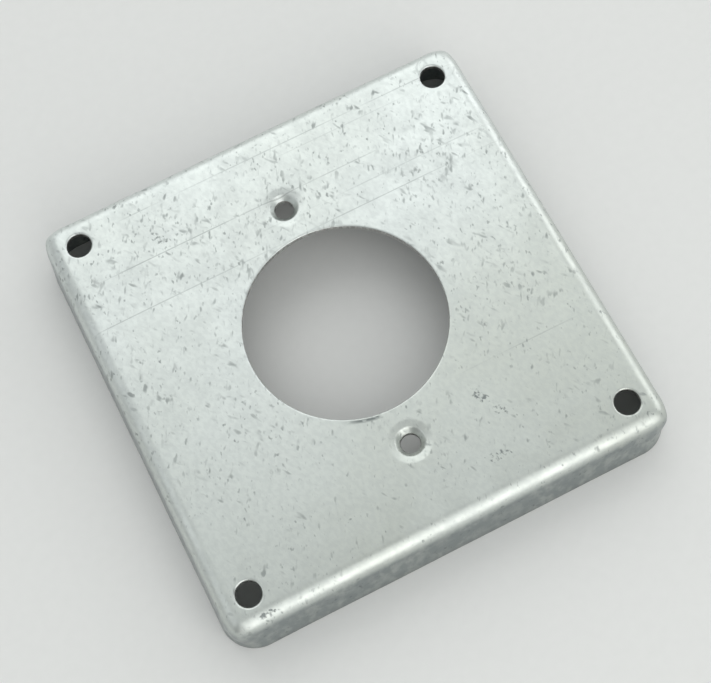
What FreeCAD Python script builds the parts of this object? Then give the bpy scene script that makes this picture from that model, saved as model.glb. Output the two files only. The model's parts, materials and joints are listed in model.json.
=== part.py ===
"""Raised cover for a square electrical box, drawn from one piece of galvanised sheet steel.

Frame: origin at the centre of the rim that the cover rests on, +Z out through the face,
+Y through the two device screw holes, +X along the side of the square. Millimetres.
"""
import FreeCAD, Part
import math
import os

V = FreeCAD.Vector

# Driving dimensions of the drawn pan.
SHEET = 1.6              # sheet thickness, 16 gauge
RIM_WIDTH = 127.8        # across the rim, outside
HEIGHT = 17.5            # rim to face, outside
DRAFT = 0.10             # outward lean of the skirt, mm per mm of height
BEND_RADIUS = 4.5        # face to skirt, outside
RIM_CORNER_RADIUS = 9.5  # plan radius of the skirt's corners at the rim, outside

# Openings in the face.
DEVICE_OPENING = 54.4    # round opening for the receptacle, 2.141 in
DEVICE_SPACING = 74.6    # between the two device screws, 2-15/16 in
BOX_SPACING = 107.4      # between the four box screws, along each side
BOX_SCREW_HOLE = 6.7
EDGE_ROLL = 0.4          # radius that the punch leaves on the face's side of a hole

# Formed seat of a device screw: radii, and depths below the face.
SEAT_BLEND_RADIUS = 5.6
SEAT_CONE_RADIUS = 4.0
SEAT_CONE_DEPTH = 0.3
SEAT_HOLE_RADIUS = 2.6
SEAT_HOLE_DEPTH = 1.8
SEAT_WALL = 1.2          # sheet thickness left where the seat is stretched

CUT_MARGIN = 5.0         # how far a cutter runs past what it cuts


def rounded_square(width, corner_radius, z):
    """Closed wire of a square with round corners, centred on the Z axis at height z."""
    half = width / 2
    inner = half - corner_radius
    diagonal = corner_radius * math.sqrt(0.5)
    edges = []
    for quarter in range(4):
        turn = FreeCAD.Rotation(V(0, 0, 1), 90 * quarter)
        side_start = turn.multVec(V(half, -inner, z))
        side_end = turn.multVec(V(half, inner, z))
        corner_middle = turn.multVec(V(inner + diagonal, inner + diagonal, z))
        corner_end = turn.multVec(V(inner, half, z))
        edges.append(Part.LineSegment(side_start, side_end).toShape())
        edges.append(Part.Arc(side_end, corner_middle, corner_end).toShape())
    return Part.Wire(edges)


def drawn_block(inset, top, bend_radius):
    """Solid under the pan's skin: inset is how far its sides stand inside the outer skirt."""
    rim_width = RIM_WIDTH - 2 * inset
    rim_corner = RIM_CORNER_RADIUS - inset
    lean = DRAFT * top
    bottom_wire = rounded_square(rim_width, rim_corner, 0)
    top_wire = rounded_square(rim_width - 2 * lean, rim_corner - lean, top)
    block = Part.makeLoft([bottom_wire, top_wire], True, True)
    top_edges = [e for e in block.Edges if e.BoundBox.ZMin > top - SHEET / 2]
    return block.makeFillet(bend_radius, top_edges)


def pan():
    """Hollow pan: the outer block less the inner block one sheet thickness inside it."""
    skirt_inset = SHEET * math.hypot(1, DRAFT)
    outer = drawn_block(0, HEIGHT, BEND_RADIUS)
    inner = drawn_block(skirt_inset, HEIGHT - SHEET, BEND_RADIUS - SHEET)
    return outer.cut(inner)


def revolved(profile, x, y):
    """Solid made by turning (radius, height) points about the vertical line through x, y."""
    wire = Part.makePolygon([V(r, 0, z) for r, z in profile + profile[:1]])
    solid = Part.Face(wire).revolve(V(0, 0, 0), V(0, 0, 1), 360)
    solid.translate(V(x, y, 0))
    return solid


def punch(diameter, x, y):
    """Cutter of a punched hole: a cylinder that opens out where the sheet rolls in at the face."""
    radius = diameter / 2
    start = V(radius, 0, HEIGHT - EDGE_ROLL)
    middle_offset = EDGE_ROLL * (1 - math.sqrt(0.5))
    middle = V(radius + middle_offset, 0, HEIGHT - middle_offset)
    end = V(radius + EDGE_ROLL, 0, HEIGHT)
    corners = [end, V(radius + EDGE_ROLL, 0, HEIGHT + CUT_MARGIN), V(0, 0, HEIGHT + CUT_MARGIN),
               V(0, 0, HEIGHT - SHEET - CUT_MARGIN), V(radius, 0, HEIGHT - SHEET - CUT_MARGIN), start]
    roll = Part.Arc(start, middle, end).toShape()
    wire = Part.Wire([roll] + Part.makePolygon(corners).Edges)
    cutter = Part.Face(wire).revolve(V(0, 0, 0), V(0, 0, 1), 360)
    cutter.translate(V(x, y, 0))
    return cutter


def seat_metal(x, y):
    """Sheet pushed down around a device screw, from inside the face to the seat's lower lip."""
    lip = HEIGHT - SEAT_HOLE_DEPTH - SEAT_WALL
    profile = [(0, HEIGHT - SHEET / 2),
               (SEAT_BLEND_RADIUS + SHEET, HEIGHT - SHEET / 2),
               (SEAT_BLEND_RADIUS + SHEET / 2, HEIGHT - SHEET),
               (SEAT_CONE_RADIUS + SHEET / 2, HEIGHT - SEAT_CONE_DEPTH - SHEET),
               (SEAT_HOLE_RADIUS + SEAT_WALL, lip),
               (0, lip)]
    return revolved(profile, x, y)


def seat_space(x, y):
    """Space above the seat and through its hole, cut out of the sheet."""
    profile = [(0, HEIGHT + CUT_MARGIN),
               (SEAT_BLEND_RADIUS, HEIGHT + CUT_MARGIN),
               (SEAT_BLEND_RADIUS, HEIGHT),
               (SEAT_CONE_RADIUS, HEIGHT - SEAT_CONE_DEPTH),
               (SEAT_HOLE_RADIUS, HEIGHT - SEAT_HOLE_DEPTH),
               (SEAT_HOLE_RADIUS, HEIGHT - SHEET - CUT_MARGIN),
               (0, HEIGHT - SHEET - CUT_MARGIN)]
    return revolved(profile, x, y)


def cover():
    """The whole cover: the pan with its device opening, box screw holes and two formed seats."""
    shape = pan().cut(punch(DEVICE_OPENING, 0, 0))
    for x_side in (-1, 1):
        for y_side in (-1, 1):
            hole = punch(BOX_SCREW_HOLE, x_side * BOX_SPACING / 2, y_side * BOX_SPACING / 2)
            shape = shape.cut(hole)
    for y_side in (-1, 1):
        y = y_side * DEVICE_SPACING / 2
        shape = shape.fuse(seat_metal(0, y)).cut(seat_space(0, y))
    return shape.removeSplitter()


os.makedirs("parts", exist_ok=True)
result = cover()
print("valid", result.isValid(), "solids", len(result.Solids), "volume", round(result.Volume, 1))
print("box", result.BoundBox)
result.Solids[0].exportStep("parts/cover.step")
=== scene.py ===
"""Raised cover for a square electrical box: one sheet of galvanised steel, drawn into a shallow pan.

Metres, +Z out through the face, +Y through the two device screw seats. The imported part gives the
overall size and the holes; this file makes the finished sheet, its zinc coat and the stage.
"""

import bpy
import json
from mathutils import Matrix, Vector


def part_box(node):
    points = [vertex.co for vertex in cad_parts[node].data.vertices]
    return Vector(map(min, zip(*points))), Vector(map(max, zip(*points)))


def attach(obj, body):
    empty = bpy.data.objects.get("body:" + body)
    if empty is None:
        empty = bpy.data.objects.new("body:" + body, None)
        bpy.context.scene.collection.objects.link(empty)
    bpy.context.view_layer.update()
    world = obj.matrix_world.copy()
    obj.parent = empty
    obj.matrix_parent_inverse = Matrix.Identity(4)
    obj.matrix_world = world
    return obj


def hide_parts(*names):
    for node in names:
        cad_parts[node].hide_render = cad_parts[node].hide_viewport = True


bl_info = {
    "name": "Drawn box cover",
    "version": (1, 0, 0),
    "blender": (4, 5, 0),
    "location": "View3D > Sidebar > Box Cover",
    "description": "Makes a drawn and punched sheet-steel box cover with a galvanised finish",
    "category": "Add Mesh",
}

import json
import math

import bmesh
import bpy
from bpy.props import FloatProperty, FloatVectorProperty, IntProperty, PointerProperty
from mathutils import Matrix, Vector, geometry, noise

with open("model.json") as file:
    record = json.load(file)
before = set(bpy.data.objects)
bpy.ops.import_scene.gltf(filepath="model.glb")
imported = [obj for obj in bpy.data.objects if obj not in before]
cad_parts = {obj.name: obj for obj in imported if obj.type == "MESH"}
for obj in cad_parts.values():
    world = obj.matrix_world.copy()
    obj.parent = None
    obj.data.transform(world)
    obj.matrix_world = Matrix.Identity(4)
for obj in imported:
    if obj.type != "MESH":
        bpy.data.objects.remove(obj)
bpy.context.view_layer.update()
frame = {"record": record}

NODE = "cover"
MM = 0.001
FAR_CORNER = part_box(NODE)[1]
RIM_HALF = FAR_CORNER.x
HEIGHT = FAR_CORNER.z
MOUNTS = {mount["name"]: mount["dims"] for mount in frame["record"]["mounts"]}
OPENING_RADIUS = MOUNTS["device_opening"]["r_mm"] * MM
SEAT_HOLE_RADIUS = MOUNTS["device_screws"]["hole_r_mm"] * MM
SEAT_Y = MOUNTS["device_screws"]["spacing_y_mm"] * MM / 2
SCREW_HOLE_RADIUS = MOUNTS["box_screws"]["hole_r_mm"] * MM
SCREW_XY = MOUNTS["box_screws"]["spacing_x_mm"] * MM / 2
SCREW_PLACES = [(x, y) for x in (-SCREW_XY, SCREW_XY) for y in (-SCREW_XY, SCREW_XY)]
SEAT_BLEND_RADIUS = 5.6 * MM  # where a seat starts to leave the face
SEAT_CONE_RADIUS = 4.0 * MM
SEAT_DEPTH = 1.8 * MM
SEAT_LIP = 1.4 * MM  # how far a seat stands out under the sheet
MERGE = 2e-6
INSIDE = 1  # triangles enclosed by the given edges


class CoverSizes(bpy.types.PropertyGroup):
    """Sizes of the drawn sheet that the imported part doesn't state by name."""
    sheet: FloatProperty(name="Sheet", description="Thickness of the sheet steel",
                         default=1.6 * MM, min=0.5 * MM, unit="LENGTH")
    bend_radius: FloatProperty(name="Bend radius", description="Outside radius between face and skirt",
                               default=4.5 * MM, min=2 * MM, unit="LENGTH")
    draft: FloatProperty(name="Draft", description="How far the skirt leans out for each unit of height",
                         default=0.10, min=0.0, max=0.3)
    rim_corner: FloatProperty(name="Rim corner", description="Plan radius of the corners at the rim",
                              default=9.5 * MM, min=5 * MM, unit="LENGTH")
    edge_roll: FloatProperty(name="Edge roll", description="Radius the punch leaves where it enters the face",
                             default=0.4 * MM, min=0.05 * MM, unit="LENGTH")
    screw_hole_roll: FloatProperty(name="Screw hole roll", description="The same at the four screw holes",
                                   default=0.65 * MM, min=0.05 * MM, unit="LENGTH")
    face_crown: FloatProperty(name="Face crown", description="Drop of the face at the middle of each bend",
                              default=0.30 * MM, min=0.0, unit="LENGTH")
    corner_reach: FloatProperty(name="Corner reach", description="Share the fold runs out by at a corner",
                                default=0.19, min=0.0, max=0.40)
    waviness: FloatProperty(name="Waviness", description="Height of the slow unevenness of the sheet",
                            default=0.10 * MM, min=0.0, unit="LENGTH")
    mesh_step: FloatProperty(name="Mesh step", description="Spacing of the points on the flat face",
                             default=1.1 * MM, min=0.5 * MM, unit="LENGTH")
    around: IntProperty(name="Points around", description="Points around a small hole", default=48, min=12)


class ZincFinish(bpy.types.PropertyGroup):
    """Colours of the galvanised coat and of the sheared edges; the handled zinc and the drawn zinc also carry
    painted shade.
    """
    zinc: FloatVectorProperty(name="Zinc", description="Fresh zinc coat", subtype="COLOR",
                              size=3, min=0, max=1, default=(0.74, 0.78, 0.765))
    # Handled zinc is real cloudy tone, and also the painted shade that darkens the face toward the front.
    handled_zinc_and_shade: FloatVectorProperty(name="Handled zinc", description="Duller zinc where the sheet was handled",
                                   subtype="COLOR", size=3, min=0, max=1, default=(0.615, 0.645, 0.60))
    fleck: FloatVectorProperty(name="Fleck", description="Dark flecks in the coat", subtype="COLOR",
                               size=3, min=0, max=1, default=(0.20, 0.22, 0.22))
    # Drawn zinc is the skirt's streaky die-rubbed tone, made darker still as painted shade on the skirt.
    drawn: FloatVectorProperty(name="Drawn zinc", description="Zinc rubbed by the die on the skirt",
                               subtype="COLOR", size=3, min=0, max=1, default=(0.25, 0.28, 0.29))
    sheared: FloatVectorProperty(name="Sheared steel", description="Bare steel where the sheet was cut",
                                 subtype="COLOR", size=3, min=0, max=1, default=(0.42, 0.41, 0.40))


class StageLook(bpy.types.PropertyGroup):
    """Floor, lights and camera."""
    floor: FloatVectorProperty(name="Floor", description="Colour of the floor", subtype="COLOR",
                               size=3, min=0, max=1, default=(0.80, 0.80, 0.79))
    surround: FloatProperty(name="Surround", description="Strength of the even light from all round",
                            default=0.56, min=0.0)
    softbox: FloatProperty(name="Softbox", description="Power of the softbox behind, in watts",
                           default=3.5, min=0.0, unit="POWER")
    front: FloatProperty(name="Front light", description="Power of the low front light, in watts",
                         default=3.1, min=0.0, unit="POWER")
    azimuth: FloatProperty(name="Azimuth", description="Camera's turn round the cover from in front",
                           default=math.radians(-16.62), subtype="ANGLE")
    elevation: FloatProperty(name="Elevation", description="Camera's height above the face's plane",
                             default=math.radians(68.77), subtype="ANGLE")
    roll: FloatProperty(name="Roll", description="Turn of the camera about its own axis",
                        default=math.radians(10.71), subtype="ANGLE")
    distance: FloatProperty(name="Distance", description="Camera to the point it looks at",
                            default=0.4476, min=0.1, unit="LENGTH")
    lens: FloatProperty(name="Lens", description="Focal length on a 36 mm wide sensor, in millimetres",
                        default=86.98, min=20, unit="CAMERA")


# Geometry Nodes

def new_tree(name, inputs):
    """Node tree with a geometry input and output, and one input for each (name, socket type)."""
    tree = bpy.data.node_groups.new(name, "GeometryNodeTree")
    tree.interface.new_socket("Geometry", in_out="INPUT", socket_type="NodeSocketGeometry")
    for label, kind in inputs:
        tree.interface.new_socket(label, in_out="INPUT", socket_type=kind)
    tree.interface.new_socket("Geometry", in_out="OUTPUT", socket_type="NodeSocketGeometry")
    return tree, tree.nodes.new("NodeGroupInput"), tree.nodes.new("NodeGroupOutput")


def finish_tree(tree, source, enter, leave):
    """Ends a tree in Realize Instances and Set Material."""
    realize = tree.nodes.new("GeometryNodeRealizeInstances")
    paint = tree.nodes.new("GeometryNodeSetMaterial")
    tree.links.new(source, realize.inputs["Geometry"])
    tree.links.new(realize.outputs["Geometry"], paint.inputs["Geometry"])
    tree.links.new(enter.outputs["Material"], paint.inputs["Material"])
    tree.links.new(paint.outputs["Geometry"], leave.inputs["Geometry"])


def swept_skirt_tree():
    """Sweeps a profile round a square path with filleted corners."""
    tree, enter, leave = new_tree("swept_skirt", [
        ("Width", "NodeSocketFloat"), ("Corner Radius", "NodeSocketFloat"),
        ("Corner Points", "NodeSocketInt"), ("Side Cuts", "NodeSocketInt"),
        ("Profile", "NodeSocketObject"), ("Material", "NodeSocketMaterial")])
    add, link = tree.nodes.new, tree.links.new
    square = add("GeometryNodeCurvePrimitiveQuadrilateral")
    link(enter.outputs["Width"], square.inputs["Width"])
    link(enter.outputs["Width"], square.inputs["Height"])
    fillet = add("GeometryNodeFilletCurve")
    fillet.mode = "POLY"
    link(square.outputs["Curve"], fillet.inputs["Curve"])
    link(enter.outputs["Corner Points"], fillet.inputs["Count"])
    link(enter.outputs["Corner Radius"], fillet.inputs["Radius"])

    # Each corner is Corner Points + 1 points, and the last of them starts a straight side to divide.
    corner_size = add("ShaderNodeMath")
    corner_size.operation = "ADD"
    corner_size.inputs[1].default_value = 1
    link(enter.outputs["Corner Points"], corner_size.inputs[0])
    place = add("ShaderNodeMath")
    place.operation = "MODULO"
    link(add("GeometryNodeInputIndex").outputs["Index"], place.inputs[0])
    link(corner_size.outputs["Value"], place.inputs[1])
    before_side = add("ShaderNodeMath")
    before_side.operation = "COMPARE"
    before_side.inputs[2].default_value = 0.5
    link(place.outputs["Value"], before_side.inputs[0])
    link(enter.outputs["Corner Points"], before_side.inputs[1])
    cuts = add("GeometryNodeSwitch")
    cuts.input_type = "INT"
    link(before_side.outputs["Value"], cuts.inputs["Switch"])
    link(enter.outputs["Side Cuts"], cuts.inputs["True"])
    divide = add("GeometryNodeSubdivideCurve")
    link(fillet.outputs["Curve"], divide.inputs["Curve"])
    link(cuts.outputs["Output"], divide.inputs["Cuts"])
    finish_tree(tree, sweep(tree, divide.outputs["Curve"], enter), enter, leave)
    return tree


def punched_edge_tree():
    """Sweeps a profile round a circle, and puts one such edge at every point it is given."""
    tree, enter, leave = new_tree("punched_edge", [
        ("Radius", "NodeSocketFloat"), ("Points Around", "NodeSocketInt"),
        ("Profile", "NodeSocketObject"), ("Material", "NodeSocketMaterial")])
    circle = tree.nodes.new("GeometryNodeCurvePrimitiveCircle")
    tree.links.new(enter.outputs["Radius"], circle.inputs["Radius"])
    tree.links.new(enter.outputs["Points Around"], circle.inputs["Resolution"])
    scatter = tree.nodes.new("GeometryNodeInstanceOnPoints")
    tree.links.new(enter.outputs["Geometry"], scatter.inputs["Points"])
    tree.links.new(sweep(tree, circle.outputs["Curve"], enter), scatter.inputs["Instance"])
    finish_tree(tree, scatter.outputs["Instances"], enter, leave)
    return tree


def sweep(tree, path, enter):
    """Sweeps the Profile object's curve along a level path, and returns the mesh socket."""
    upright = tree.nodes.new("GeometryNodeSetCurveNormal")
    upright.mode = "Z_UP"
    profile = tree.nodes.new("GeometryNodeObjectInfo")
    mesh = tree.nodes.new("GeometryNodeCurveToMesh")
    tree.links.new(path, upright.inputs["Curve"])
    tree.links.new(upright.outputs["Curve"], mesh.inputs["Curve"])
    tree.links.new(enter.outputs["Profile"], profile.inputs["Object"])
    tree.links.new(profile.outputs["Geometry"], mesh.inputs["Profile Curve"])
    return mesh.outputs["Mesh"]


def run_tree(tree, points, values):
    """Runs a tree on a mesh of loose points and returns its result as a plain mesh."""
    mesh = bpy.data.meshes.new(tree.name)
    mesh.from_pydata(points, [], [])
    holder = bpy.data.objects.new(tree.name, mesh)
    bpy.context.scene.collection.objects.link(holder)
    modifier = holder.modifiers.new(tree.name, "NODES")
    modifier.node_group = tree
    for item in tree.interface.items_tree:
        if item.in_out == "INPUT" and item.name in values:
            modifier[item.identifier] = values[item.name]
    depsgraph = bpy.context.evaluated_depsgraph_get()
    result = bpy.data.meshes.new_from_object(holder.evaluated_get(depsgraph))
    holder.modifiers.remove(modifier)
    bpy.data.objects.remove(holder)
    return result


# Profiles: lists of (outwards from the path, height, fillet radius)

def filleted(corners, step):
    """Points along a line of corners, each rounded to its own radius, no further apart than step."""
    points = [Vector(corners[0][:2])]
    for before, here, after in zip(corners, corners[1:], corners[2:]):
        corner = Vector(here[:2])
        back = (Vector(before[:2]) - corner).normalized()
        ahead = (Vector(after[:2]) - corner).normalized()
        half_turn = (math.pi - back.angle(ahead)) / 2
        reach = here[2] * math.tan(half_turn)
        centre = corner + (back + ahead).normalized() * here[2] / math.cos(half_turn)
        start = corner + back * reach - centre
        turn = 2 * half_turn if back.cross(ahead) < 0 else -2 * half_turn
        pieces = max(3, round(math.degrees(abs(turn)) / (6 if here[2] > 1 * MM else 15)))
        points += [centre + Matrix.Rotation(turn * i / pieces, 2) @ start for i in range(pieces + 1)]
    points.append(Vector(corners[-1][:2]))
    divided = [points[0]]
    for a, b in zip(points, points[1:]):
        if (b - a).length < MERGE:
            continue
        count = max(1, math.ceil((b - a).length / step))
        divided += [a.lerp(b, i / count) for i in range(1, count + 1)]
    return divided


def skirt_profile(sizes):
    """From the face over the bend, down the skirt, round the cut rim and back up inside."""
    turn = math.pi / 2 - math.atan(sizes.draft)
    inner_radius = sizes.bend_radius - sizes.sheet
    slant_sheet = sizes.sheet * math.hypot(1, sizes.draft)
    outer_corner = sizes.bend_radius * math.tan(turn / 2)
    inner_corner = inner_radius * math.tan(turn / 2)
    rim = outer_corner + sizes.draft * HEIGHT
    corners = [(0, HEIGHT, 0), (outer_corner, HEIGHT, sizes.bend_radius),
               (rim, 0, 0.30 * MM), (rim - slant_sheet, 0, 0.15 * MM),
               (inner_corner, HEIGHT - sizes.sheet, inner_radius), (0, HEIGHT - sizes.sheet, 0)]
    return filleted(corners, 1.6 * MM), rim


def hole_profile(sizes, roll):
    """Edge of a punched hole: rolled at the face, a bright shear band, then a torn band with a burr."""
    under = HEIGHT - sizes.sheet
    torn = 0.06 * MM
    corners = [(0.75 * MM, HEIGHT, 0), (0, HEIGHT, roll),
               (0, HEIGHT - 0.45 * sizes.sheet, 0.15 * MM), (torn, under, 0.05 * MM), (0.75 * MM, under, 0)]
    return filleted(corners, 0.4 * MM)


def seat_profile(sizes):
    """Funnel-shaped seat of a device screw, pushed down out of the face round its hole."""
    under = HEIGHT - sizes.sheet
    cone_top = SEAT_CONE_RADIUS - SEAT_HOLE_RADIUS
    corners = [(SEAT_BLEND_RADIUS, HEIGHT, 0), (3.2 * MM, HEIGHT, 3.0 * MM),
               (cone_top, HEIGHT - 0.32 * MM, 0.9 * MM), (0, HEIGHT - SEAT_DEPTH, 0.25 * MM),
               (0, under - SEAT_LIP, 0.12 * MM), (1.2 * MM, under - SEAT_LIP, 0.3 * MM),
               (2.3 * MM, under - 0.3 * MM, 1.2 * MM), (4.2 * MM, under, 1.6 * MM),
               (SEAT_BLEND_RADIUS, under, 0)]
    return filleted(corners, 0.45 * MM)


def profile_object(name, points):
    """Poly curve through the points of a profile; a sweep turns its Y axis downwards."""
    curve = bpy.data.curves.new(name, "CURVE")
    curve.dimensions = "3D"
    spline = curve.splines.new("POLY")
    spline.points.add(len(points) - 1)
    for target, point in zip(spline.points, points):
        target.co = (point.x, -point.y, 0, 1)
    holder = bpy.data.objects.new(name, curve)
    bpy.context.scene.collection.objects.link(holder)
    return holder


# The sheet

def swept_edges(sizes, material):
    """Skirt, opening, screw holes and seats: everything but the flat sheet between them."""
    outline, reach = skirt_profile(sizes)
    side = 2 * (RIM_HALF - reach)
    jobs = [
        (swept_skirt_tree(), outline, [(0, 0, 0)],
         {"Width": side, "Corner Radius": sizes.rim_corner - reach, "Corner Points": 24,
          "Side Cuts": round(side / (2.2 * MM))}),
        (punched_edge_tree(), hole_profile(sizes, sizes.edge_roll), [(0, 0, 0)],
         {"Radius": OPENING_RADIUS, "Points Around": 4 * sizes.around}),
        (punched_edge_tree(), hole_profile(sizes, sizes.screw_hole_roll),
         [(*place, 0) for place in SCREW_PLACES],
         {"Radius": SCREW_HOLE_RADIUS, "Points Around": sizes.around}),
        (punched_edge_tree(), seat_profile(sizes), [(0, -SEAT_Y, 0), (0, SEAT_Y, 0)],
         {"Radius": SEAT_HOLE_RADIUS, "Points Around": sizes.around}),
    ]
    bm = bmesh.new()
    for tree, points, places, values in jobs:
        profile = profile_object("profile", points)
        mesh = run_tree(tree, places, {**values, "Profile": profile, "Material": material})
        bm.from_mesh(mesh)
        bpy.data.objects.remove(profile)
        bpy.data.meshes.remove(mesh)
    return bm


def open_loops(bm, height):
    """Loops of open edges at one height, the longest first, as lists of vertices in order."""
    edges = {e for e in bm.edges if e.is_boundary and all(abs(v.co.z - height) < MERGE for v in e.verts)}
    loops = []
    while edges:
        edge = edges.pop()
        loop = [edge.verts[0], edge.verts[1]]
        while loop[-1] is not loop[0]:
            onward = next(e for e in loop[-1].link_edges if e in edges)
            edges.discard(onward)
            loop.append(onward.other_vert(loop[-1]))
        loops.append(loop[:-1])
    return sorted(loops, key=len, reverse=True)


def hole_circle(loop):
    """Centre and radius of a round loop."""
    centre = sum((v.co.xy for v in loop), Vector((0, 0))) / len(loop)
    return centre, (loop[0].co.xy - centre).length


def grid_points(half, step, holes):
    """Staggered grid over the flat sheet, clear of its border and of every hole."""
    rows = int(2 * half / (step * math.sqrt(0.75)))
    columns = int(2 * half / step)
    for row in range(1, rows):
        y = -half + 2 * half * row / rows
        for column in range(columns):
            x = -half + 2 * half * (column + 0.5 + 0.5 * (row % 2)) / columns
            here = Vector((x, y))
            if abs(x) > half - 0.6 * step or abs(y) > half - 0.6 * step:
                continue
            if min(abs(x), abs(y)) > half - 3 * MM and here.length > half * math.sqrt(2) - 3.2 * MM:
                continue
            if all((here - centre).length > radius + 0.55 * step for centre, radius in holes):
                yield here


def fill_sheet(bm, height, step):
    """Fills the flat sheet at one height between the skirt and the edges of the holes."""
    loops = open_loops(bm, height)
    border = loops[0]
    holes = [hole_circle(loop) for loop in loops[1:]]
    half = max(v.co.x for v in border)
    verts, edges, owners = [], [], []
    for number, loop in enumerate(loops):
        first = len(verts)
        verts += loop
        owners += [number] * len(loop)
        edges += [(first + i, first + (i + 1) % len(loop)) for i in range(len(loop))]
    inside = list(grid_points(half, step, holes))
    places = [v.co.xy for v in verts] + inside
    out_places, _, triangles, origins, _, _ = geometry.delaunay_2d_cdt(places, edges, [], INSIDE, 1e-9)
    ends = [bm.verts.new((*place, height)) if origin[0] >= len(verts) else verts[origin[0]]
            for place, origin in zip(out_places, origins)]
    owner = [owners[origin[0]] if origin[0] < len(verts) else -1 for origin in origins]
    for triangle in triangles:
        owned_by = {owner[i] for i in triangle}
        over_hole = len(owned_by) == 1 and min(owned_by) > 0
        if not over_hole:
            bm.faces.new([ends[i] for i in triangle])


def sharpen_corners(bm, sizes):
    """Draws the fold out to a sharp corner at the face, while the skirt stays round at the rim."""
    centre = RIM_HALF - sizes.rim_corner
    softness = 0.14
    fixed_reach, full_reach = 3.1 * MM, 5.4 * MM
    for vert in bm.verts:
        out_x, out_y = abs(vert.co.x) - centre, abs(vert.co.y) - centre
        if out_x <= 0 or out_y <= 0:
            continue
        upper = smooth_step(vert.co.z, 2.5 * MM, HEIGHT - sizes.bend_radius)
        reach = math.hypot(out_x, out_y)
        off_diagonal = abs(math.atan2(out_y, out_x) / (math.pi / 4) - 1)
        peak = (1 + softness - math.hypot(off_diagonal, softness)) ** 2
        stretch = 1 + sizes.corner_reach * upper * peak * smooth_step(reach, fixed_reach, full_reach)
        vert.co.x = math.copysign(centre + out_x * stretch, vert.co.x)
        vert.co.y = math.copysign(centre + out_y * stretch, vert.co.y)


def smooth_step(value, low, high):
    """Smooth rise from 0 to 1 as value goes from low to high."""
    share = max(0.0, min(1.0, (value - low) / (high - low)))
    return share * share * (3 - 2 * share)


def settle_sheet(bm, sizes):
    """Gives the stamped sheet its crown, slow waviness and slightly uneven skirt, all inwards."""
    flat = RIM_HALF - skirt_profile(sizes)[1]
    for vert in bm.verts:
        x, y, z = vert.co
        spread = (abs(x / flat) ** 6 + abs(y / flat) ** 6) ** (1 / 6)
        crown = sizes.face_crown * max(0.0, (spread - 0.66) / 0.34) ** 2
        slow = 0.5 + 0.5 * noise.noise(Vector((x, y, 0)) * 28 + Vector((3.1, 7.7, 0.4)))
        fall = min(crown, 4 * sizes.face_crown) + slow * sizes.waviness
        upper = max(0.0, min(1.0, z / (HEIGHT - 2 * sizes.sheet)))
        side = 1 - upper
        pull = 0.5 + 0.5 * noise.noise(Vector((x * 34, y * 34, z * 40 + 5)))
        rim_lift = 0.5 + 0.5 * noise.noise(Vector((x, y, 0)) * 22 + Vector((0, 0, 9)))
        length = max(math.hypot(x, y), MM)
        shift = side * pull * 2.2 * sizes.waviness
        vert.co.x -= shift * x / length
        vert.co.y -= shift * y / length
        vert.co.z = z - upper * fall + side * rim_lift * 1.6 * sizes.waviness


def mark_sheared(bm, sizes):
    """Gives the second material to the cut faces: the hole walls and the bottom of the rim."""
    holes = [(Vector((0, 0)), OPENING_RADIUS)]
    holes += [(Vector(place), SCREW_HOLE_RADIUS) for place in SCREW_PLACES]
    holes += [(Vector((0, y)), SEAT_HOLE_RADIUS) for y in (-SEAT_Y, SEAT_Y)]
    for face in bm.faces:
        middle = face.calc_center_median()
        on_wall = abs(face.normal.z) < 0.6 and any(
            (middle.xy - centre).length < radius + 0.12 * MM for centre, radius in holes)
        on_rim = middle.z < 0.6 * MM and face.normal.z < -0.5
        face.material_index = 1 if on_wall or on_rim else 0


def build_cover(sizes, finish):
    """The whole sheet as one closed mesh object."""
    zinc, sheared = zinc_material(finish, sizes), sheared_material(finish)
    bm = swept_edges(sizes, zinc)
    bmesh.ops.remove_doubles(bm, verts=bm.verts, dist=MERGE)
    fill_sheet(bm, HEIGHT, sizes.mesh_step)
    fill_sheet(bm, HEIGHT - sizes.sheet, 2 * sizes.mesh_step)
    bmesh.ops.recalc_face_normals(bm, faces=bm.faces)
    if bm.calc_volume(signed=True) < 0:
        bmesh.ops.reverse_faces(bm, faces=bm.faces)
    bm.normal_update()
    torn = sum(not edge.is_manifold for edge in bm.edges)
    if torn:
        raise RuntimeError(f"the cover's mesh has {torn} open edges")
    mark_sheared(bm, sizes)
    sharpen_corners(bm, sizes)
    settle_sheet(bm, sizes)
    mesh = bpy.data.meshes.new("drawn_cover")
    bm.to_mesh(mesh)
    bm.free()
    mesh.materials.append(zinc)
    mesh.materials.append(sheared)
    mesh.polygons.foreach_set("use_smooth", [True] * len(mesh.polygons))
    mesh.set_sharp_from_angle(angle=math.radians(38))
    cover = bpy.data.objects.new("drawn_cover", mesh)
    bpy.context.scene.collection.objects.link(cover)
    return cover


# Materials

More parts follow.
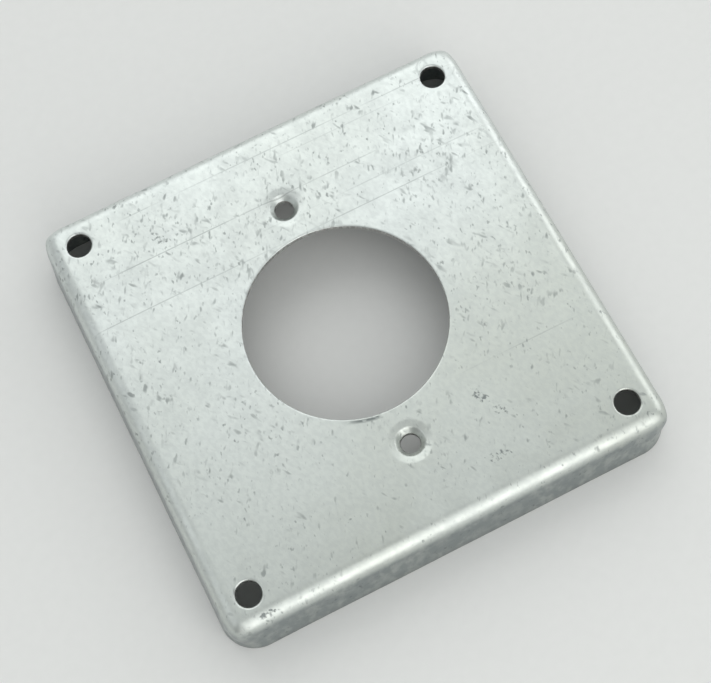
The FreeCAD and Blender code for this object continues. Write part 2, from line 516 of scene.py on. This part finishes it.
class Shader:
    """Short names for the nodes of one material; every pattern is on Object coordinates, in millimetres."""

    def __init__(self, name):
        self.material = bpy.data.materials.new(name)
        self.material.use_nodes = True
        self.tree = self.material.node_tree
        self.surface = self.tree.nodes["Principled BSDF"]
        where = self.tree.nodes.new("ShaderNodeTexCoord")
        self.place = self.vector("SCALE", where.outputs["Object"], scale=1 / MM)
        split = self.tree.nodes.new("ShaderNodeSeparateXYZ")
        self.tree.links.new(self.place, split.inputs[0])
        self.x, self.y, self.z = split.outputs

    def put(self, socket, value):
        if isinstance(value, bpy.types.NodeSocket):
            self.tree.links.new(value, socket)
        elif isinstance(value, (tuple, list)) and len(value) == 3 and socket.type == "RGBA":
            socket.default_value = (*value, 1)
        else:
            socket.default_value = value

    def vector(self, operation, a, b=None, scale=None):
        node = self.tree.nodes.new("ShaderNodeVectorMath")
        node.operation = operation
        self.put(node.inputs[0], a)
        if b is not None:
            self.put(node.inputs[1], b)
        if scale is not None:
            self.put(node.inputs["Scale"], scale)
        return node.outputs["Value" if operation in ("LENGTH", "DOT_PRODUCT") else "Vector"]

    def math(self, operation, a, b=0.0, clamp=False):
        node = self.tree.nodes.new("ShaderNodeMath")
        node.operation = operation
        node.use_clamp = clamp
        self.put(node.inputs[0], a)
        self.put(node.inputs[1], b)
        return node.outputs["Value"]

    def ramp(self, value, low, high, to_low=0.0, to_high=1.0):
        """Smooth step from to_low to to_high as value goes from low to high."""
        node = self.tree.nodes.new("ShaderNodeMapRange")
        node.interpolation_type = "SMOOTHSTEP"
        for socket, number in zip(node.inputs[:5], (value, low, high, to_low, to_high)):
            self.put(socket, number)
        return node.outputs["Result"]

    def noise(self, grain, detail=2.0, stretch=(1, 1, 1), turn=0.0, shift=(0, 0, 0), place=None):
        """Noise whose features are about grain millimetres wide, drawn out by stretch and turned about Z."""
        mapping = self.tree.nodes.new("ShaderNodeMapping")
        mapping.vector_type = "TEXTURE"
        mapping.inputs["Location"].default_value = shift
        mapping.inputs["Rotation"].default_value = (0, 0, turn)
        mapping.inputs["Scale"].default_value = [grain * s for s in stretch]
        self.put(mapping.inputs["Vector"], place or self.place)
        texture = self.tree.nodes.new("ShaderNodeTexNoise")
        texture.inputs["Scale"].default_value = 0.5
        texture.inputs["Detail"].default_value = detail
        self.tree.links.new(mapping.outputs["Vector"], texture.inputs["Vector"])
        return texture.outputs["Fac"]

    def mix(self, share, a, b, blend="MIX"):
        node = self.tree.nodes.new("ShaderNodeMix")
        node.data_type = "RGBA"
        node.blend_type = blend
        self.put(node.inputs["Factor"], share)
        self.put(node.inputs["A"], a)
        self.put(node.inputs["B"], b)
        return node.outputs["Result"]

    def bump(self, height, depth_mm, normal=None):
        node = self.tree.nodes.new("ShaderNodeBump")
        node.inputs["Distance"].default_value = depth_mm * MM
        self.put(node.inputs["Height"], height)
        if normal is not None:
            self.put(node.inputs["Normal"], normal)
        return node.outputs["Normal"]


def spot(shader, x, y, length, width, turn):
    """1 at the middle of a soft oval on the face, 0 outside it. Sizes are half axes in millimetres."""
    mapping = shader.tree.nodes.new("ShaderNodeMapping")
    mapping.vector_type = "TEXTURE"
    mapping.inputs["Location"].default_value = (x, y, 0)
    mapping.inputs["Rotation"].default_value = (0, 0, math.radians(turn))
    mapping.inputs["Scale"].default_value = (length, width, 60)
    shader.put(mapping.inputs["Vector"], shader.place)
    return shader.ramp(shader.vector("LENGTH", mapping.outputs["Vector"]), 1.0, 0.1)


# Rubbed marks on the face: x, y, half length, half width in millimetres, turn in degrees, darkness.
SMUDGES = (
    (-33.5, 44.5, 7.0, 3.0, -50, 0.75), (-25.3, 30.8, 1.1, 0.8, -60, 1.0), (-29.0, 37.5, 4.0, 2.0, -60, 0.45),
    (21.0, -34.5, 6.0, 2.4, -50, 1.0), (24.5, -40.5, 3.8, 2.4, -35, 0.95), (18.0, -51.0, 7.5, 2.4, -6, 0.75),
    (31.0, -53.5, 4.0, 1.0, 25, 0.5), (-52.0, -60.0, 6.0, 1.9, -4, 0.95), (-22.0, -48.5, 5.0, 1.2, 5, 0.4),
    (58.5, -59.0, 3.5, 1.6, -40, 0.6), (-40.0, 4.0, 3.0, 1.6, -20, 0.4), (-35.0, -12.0, 4.0, 1.4, -55, 0.35),
)
# Lines that the rolls left along the sheet: y in millimetres, from x, to x, darkness.
ROLL_LINES = ((55.0, -40, 60, 0.40), (40.7, -56, 30, 0.55), (33.5, -10, 60, 0.28), (27.7, -60, 62, 0.42),
              (-27.2, 20, 54, 0.30), (51.8, 5, 60, 0.20))


# Kinds of fleck: width in millimetres, how much longer than wide, turn in degrees, rarity.
FLECK_KINDS = ((0.80, 1.9, -26, 0.672), (1.00, 2.0, 34, 0.690), (0.55, 1.5, -12, 0.672))


def face_flecks(shader):
    """Small soft flecks in the coat, drawn out a little across the rolling direction, crowded in patches."""
    crowd = shader.noise(9.0, 3.0, (1, 1.3, 1), 0.5, (11, 3, 5))
    crowding = shader.ramp(crowd, 0.36, 0.66, 0.0, 0.055)
    gate = shader.math("ADD", crowding, shader.ramp(shader.y, -50, 40, 0.0, 0.035))
    depth = shader.ramp(shader.noise(2.0, 1.0, shift=(6, 6, 6)), 0.35, 0.68, 0.25, 1.0)
    flecks = None
    for grain, stretch, turn, start in FLECK_KINDS:
        pattern = shader.noise(grain, 1.0, (0.8, stretch, 1), math.radians(turn), (turn, grain, start))
        low = shader.math("SUBTRACT", start, gate)
        found = shader.ramp(pattern, low, shader.math("ADD", low, 0.16))
        flecks = found if flecks is None else shader.math("MAXIMUM", flecks, found)
    return shader.math("MULTIPLY", flecks, depth)


def roll_lines(shader):
    """Fine broken lines along X."""
    broken = shader.noise(6.0, 3.0, (1.6, 0.15, 1), 0, (1, 1, 1))
    lines = None
    for y, start, end, darkness in ROLL_LINES:
        off = shader.math("ABSOLUTE", shader.math("SUBTRACT", shader.y, y))
        line = shader.ramp(off, 0.26, 0.04)
        line = shader.math("MULTIPLY", line, shader.ramp(shader.x, start - 4, start + 6))
        line = shader.math("MULTIPLY", line, shader.ramp(shader.x, end + 4, end - 8))
        line = shader.math("MULTIPLY", line, darkness)
        lines = line if lines is None else shader.math("MAXIMUM", lines, line)
    return shader.math("MULTIPLY", lines, shader.ramp(broken, 0.38, 0.60, 0.25, 1.0))


def smudges(shader):
    """Rubbed dark marks, broken up by grain."""
    grain = shader.noise(0.42, 3.0, (1, 1.4, 1), 0.3, (2, 9, 4))
    marks = None
    for x, y, length, width, turn, darkness in SMUDGES:
        mark = shader.math("MULTIPLY", spot(shader, x, y, length, width, turn), darkness)
        marks = mark if marks is None else shader.math("MAXIMUM", marks, mark)
    level = shader.math("SUBTRACT", 0.64, shader.math("MULTIPLY", marks, 0.26))
    rubbed = shader.ramp(grain, level, shader.math("ADD", level, 0.18))
    return shader.math("MULTIPLY", rubbed, shader.ramp(marks, 0.02, 0.45))


def opening_scuff(shader):
    """Dark arc rubbed into the face beside the opening's rim."""
    radius = shader.vector("LENGTH", shader.vector("MULTIPLY", shader.place, (1, 1, 0)))
    rim = OPENING_RADIUS / MM
    outside_rim = shader.ramp(radius, rim + 0.3, rim + 0.7)
    ring = shader.math("MULTIPLY", outside_rim, shader.ramp(radius, rim + 1.7, rim + 0.9))
    along = shader.ramp(shader.math("ABSOLUTE", shader.math("ADD", shader.x, 6.5)), 7.5, 2.0)
    near = shader.ramp(shader.y, 0, -10)
    broken = shader.ramp(shader.noise(1.3, 3.0, (1.5, 0.8, 1), -0.25, (4, 4, 4)), 0.40, 0.56)
    arc = shader.math("MULTIPLY", ring, along)
    return shader.math("MULTIPLY", arc, shader.math("MULTIPLY", near, broken))


def zinc_material(finish, sizes):
    """Galvanised coat: cloudy grey, flecked and rubbed on the face, with painted shade darkening it toward
    the front; burnished and streaked on the skirt, which is also darkened as painted shade.
    """
    shader = Shader("galvanised_zinc")
    zinc, handled_tone_and_shade = tuple(finish.zinc), tuple(finish.handled_zinc_and_shade)
    top = HEIGHT / MM

    cloud = shader.noise(26, 3.0, (1.3, 1, 1), 0.4, (7, 1, 2))
    # Painted shade: the face's colour slides to the duller zinc toward the front and a little to the right,
    # where less light reaches it; the cloud adds real random tone.
    painted_front_shade = shader.ramp(shader.math("ADD", shader.y, shader.math("MULTIPLY", shader.x, -0.2)), 45, -60)
    clouding = shader.ramp(cloud, 0.35, 0.7, -0.15, 0.3)
    cloud_and_front_shade = shader.math("ADD", shader.math("MULTIPLY", painted_front_shade, 0.75), clouding, clamp=True)
    colour = shader.mix(cloud_and_front_shade, zinc, handled_tone_and_shade)
    mottle = shader.noise(3.2, 4.0, (1, 1.2, 1), 0.2, (3, 8, 1))
    colour = shader.mix(shader.ramp(mottle, 0.35, 0.7, 0.0, 0.10), colour, (0.52, 0.55, 0.55))
    grain = shader.noise(0.55, 2.0, (1, 1.6, 1), 0.3, (1, 2, 3))
    colour = shader.mix(shader.ramp(grain, 0.35, 0.65, 0.0, 0.20), colour, (0.45, 0.48, 0.48))

    # Painted shade: the skirt takes the dark drawn zinc, both its real streaky rubbed tone and shade painted
    # onto the walls.
    on_skirt = shader.ramp(shader.z, top - 2.0, top - 5.5)
    streak = shader.noise(1.1, 4.0, (1, 1, 1.8), 0.0, (2, 2, 6))
    smear = shader.noise(8.0, 2.0, (1, 1, 0.6), 0.0, (6, 1, 1))
    skirt_tone_and_shade = shader.mix(shader.ramp(streak, 0.38, 0.72, 0.0, 0.50), tuple(finish.drawn), handled_tone_and_shade)
    skirt_tone_and_shade = shader.mix(shader.ramp(smear, 0.42, 0.62, 0.0, 0.45), skirt_tone_and_shade, tuple(finish.drawn))
    # Painted shade: the lowest two millimetres of the skirt darken toward the rim, where it meets the floor.
    skirt_tone_and_shade = shader.mix(shader.ramp(shader.z, 2.2, 0.3, 0.0, 0.6), skirt_tone_and_shade, tuple(finish.fleck))
    colour = shader.mix(shader.math("MULTIPLY", on_skirt, 0.85), colour, skirt_tone_and_shade)

    flecks = face_flecks(shader)
    dark = shader.math("MULTIPLY", flecks, 0.66)
    dark = shader.math("MAXIMUM", dark, shader.math("MULTIPLY", roll_lines(shader), 0.75))
    dark = shader.math("MAXIMUM", dark, shader.math("MULTIPLY", smudges(shader), 0.85))
    dark = shader.math("MAXIMUM", dark, shader.math("MULTIPLY", opening_scuff(shader), 0.9))
    colour = shader.mix(dark, colour, tuple(finish.fleck))

    rough = shader.ramp(mottle, 0.3, 0.7, 0.34, 0.44)
    rough = shader.math("ADD", rough, shader.math("MULTIPLY", dark, 0.18))
    rough = shader.math("SUBTRACT", rough, shader.math("MULTIPLY", on_skirt, 0.04))
    peel = shader.noise(0.55, 3.0, (1, 1.3, 1), 0.3, (9, 9, 9))
    pits = shader.math("SUBTRACT", peel, shader.math("MULTIPLY", dark, 0.6))
    normal = shader.bump(shader.noise(5.5, 2.0, (1, 1, 1), 0, (4, 7, 2)), 0.03)
    normal = shader.bump(pits, 0.022, normal)

    shader.put(shader.surface.inputs["Base Color"], colour)
    shader.put(shader.surface.inputs["Roughness"], rough)
    shader.put(shader.surface.inputs["Normal"], normal)
    shader.surface.inputs["Metallic"].default_value = 1.0
    return shader.material


def sheared_material(finish):
    """Bare steel of a cut edge: scored through the thickness by the punch and the trimming die."""
    shader = Shader("sheared_steel")
    score = shader.noise(0.35, 3.0, (1, 1, 8), 0.0, (1, 5, 2))
    tone = shader.mix(shader.ramp(score, 0.35, 0.65), tuple(finish.sheared), (0.66, 0.66, 0.64))
    shader.put(shader.surface.inputs["Base Color"], tone)
    shader.put(shader.surface.inputs["Roughness"], shader.ramp(score, 0.3, 0.7, 0.28, 0.46))
    shader.put(shader.surface.inputs["Normal"], shader.bump(score, 0.05))
    shader.surface.inputs["Metallic"].default_value = 1.0
    return shader.material


def floor_material(look):
    """Plain matt paper with a faint tooth."""
    shader = Shader("pale_paper")
    tooth = shader.noise(1.5, 3.0)
    base = tuple(look.floor)
    slightly_darker = tuple(0.96 * part for part in base)
    shader.put(shader.surface.inputs["Base Color"], shader.mix(tooth, base, slightly_darker))
    shader.surface.inputs["Roughness"].default_value = 0.9
    shader.surface.inputs["Specular IOR Level"].default_value = 0.1
    return shader.material


# Stage

def area_light(name, place, target, size, power, colour=(1, 1, 1)):
    """Soft rectangular light that looks at a point."""
    light = bpy.data.lights.new(name, "AREA")
    light.shape = "RECTANGLE"
    light.size, light.size_y = size
    light.energy = power
    light.color = colour
    lamp = bpy.data.objects.new(name, light)
    lamp.location = place
    lamp.rotation_euler = (Vector(target) - Vector(place)).to_track_quat("-Z", "Y").to_euler()
    bpy.context.scene.collection.objects.link(lamp)


def stage_camera(look):
    """Camera on a sphere about the point of the face that it looks at."""
    target = Vector((-0.0002, -0.0065, HEIGHT))
    flat = math.cos(look.elevation) * look.distance
    away = Vector((math.sin(look.azimuth) * flat, -math.cos(look.azimuth) * flat,
                   math.sin(look.elevation) * look.distance))
    data = bpy.data.cameras.new("camera")
    data.sensor_width = 36
    data.lens = look.lens
    camera = bpy.data.objects.new("camera", data)
    turn = (-away).to_track_quat("-Z", "Y").to_matrix().to_4x4()
    camera.matrix_world = Matrix.Translation(target + away) @ turn @ Matrix.Rotation(-look.roll, 4, "Z")
    bpy.context.scene.collection.objects.link(camera)
    bpy.context.scene.camera = camera


def stage_floor(look):
    """Large round floor under the rim."""
    mesh = bpy.data.meshes.new("floor")
    bm = bmesh.new()
    bmesh.ops.create_circle(bm, cap_ends=True, segments=96, radius=3.0)
    bm.to_mesh(mesh)
    bm.free()
    mesh.materials.append(floor_material(look))
    floor = bpy.data.objects.new("floor", mesh)
    floor.location.z = -0.02 * MM
    bpy.context.scene.collection.objects.link(floor)


def studio_world(look):
    """Even light from all round, brighter from the back right than from the front left."""
    world = bpy.data.worlds.new("studio")
    world.use_nodes = True
    tree = world.node_tree
    seen_from = tree.nodes.new("ShaderNodeNewGeometry")
    toward = tree.nodes.new("ShaderNodeVectorMath")
    toward.operation = "DOT_PRODUCT"
    toward.inputs[1].default_value = Vector((-0.75, -0.6, -0.28)).normalized()
    strength = tree.nodes.new("ShaderNodeMapRange")
    strength.inputs["From Min"].default_value = -1
    strength.inputs["To Min"].default_value = 0.55 * look.surround
    strength.inputs["To Max"].default_value = 1.40 * look.surround
    background = tree.nodes["Background"]
    background.inputs["Color"].default_value = (0.96, 0.99, 0.98, 1)
    tree.links.new(seen_from.outputs["Incoming"], toward.inputs[0])
    tree.links.new(toward.outputs["Value"], strength.inputs["Value"])
    tree.links.new(strength.outputs["Result"], background.inputs["Strength"])
    return world


def stage_lights(look):
    """Big softbox behind, two in front for the near bend, fills from the right and the left."""
    middle = (0, 0, HEIGHT)
    area_light("back_softbox", (0.15, 0.85, 0.80), middle, (1.3, 1.2), look.softbox, (0.98, 1.0, 0.985))
    area_light("high_front", (0.05, -0.70, 0.84), middle, (1.2, 0.60), 0.56 * look.front, (0.99, 1.0, 0.98))
    area_light("low_front", (0.15, -1.0, 0.40), middle, (1.1, 0.62), look.front, (1.0, 0.99, 0.97))
    area_light("right_fill", (1.0, 0.25, 0.35), middle, (0.9, 0.6), 0.5 * look.front)
    area_light("left_fill", (-1.0, 0.1, 0.70), middle, (0.9, 0.9), 0.35 * look.front, (0.95, 0.98, 1.0))
    bpy.context.scene.world = studio_world(look)
    bpy.context.scene.view_settings.view_transform = "Standard"


# Operators and panel

class BOXCOVER_OT_make_cover(bpy.types.Operator):
    """Makes the drawn, punched and galvanised cover in place of the plain part"""
    bl_idname = "boxcover.make_cover"
    bl_label = "Make Cover"

    def execute(self, context):
        cover = build_cover(context.scene.cover_sizes, context.scene.zinc_finish)
        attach(cover, "root")
        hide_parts(NODE)
        return {"FINISHED"}


class BOXCOVER_OT_make_stage(bpy.types.Operator):
    """Makes the floor, the lights and the camera"""
    bl_idname = "boxcover.make_stage"
    bl_label = "Make Stage"

    def execute(self, context):
        look = context.scene.stage_look
        stage_camera(look)
        stage_floor(look)
        stage_lights(look)
        return {"FINISHED"}


class BOXCOVER_PT_panel(bpy.types.Panel):
    """Sizes, colours and buttons in the sidebar"""
    bl_idname = "BOXCOVER_PT_panel"
    bl_label = "Box Cover"
    bl_space_type = "VIEW_3D"
    bl_region_type = "UI"
    bl_category = "Box Cover"

    def draw(self, context):
        for group in (context.scene.cover_sizes, context.scene.zinc_finish, context.scene.stage_look):
            column = self.layout.box().column()
            for name in group.__annotations__:
                column.prop(group, name)
        for operator in OPERATORS:
            self.layout.operator(operator.bl_idname)


GROUPS = {"cover_sizes": CoverSizes, "zinc_finish": ZincFinish, "stage_look": StageLook}
OPERATORS = (BOXCOVER_OT_make_stage, BOXCOVER_OT_make_cover)
CLASSES = (*GROUPS.values(), *OPERATORS, BOXCOVER_PT_panel)


def register():
    for cls in CLASSES:
        bpy.utils.register_class(cls)
    for name, group in GROUPS.items():
        setattr(bpy.types.Scene, name, PointerProperty(type=group))


def unregister():
    for name in GROUPS:
        delattr(bpy.types.Scene, name)
    for cls in reversed(CLASSES):
        bpy.utils.unregister_class(cls)


def main():
    register()
    bpy.ops.boxcover.make_stage()
    bpy.ops.boxcover.make_cover()


if __name__ == "__main__":
    main()
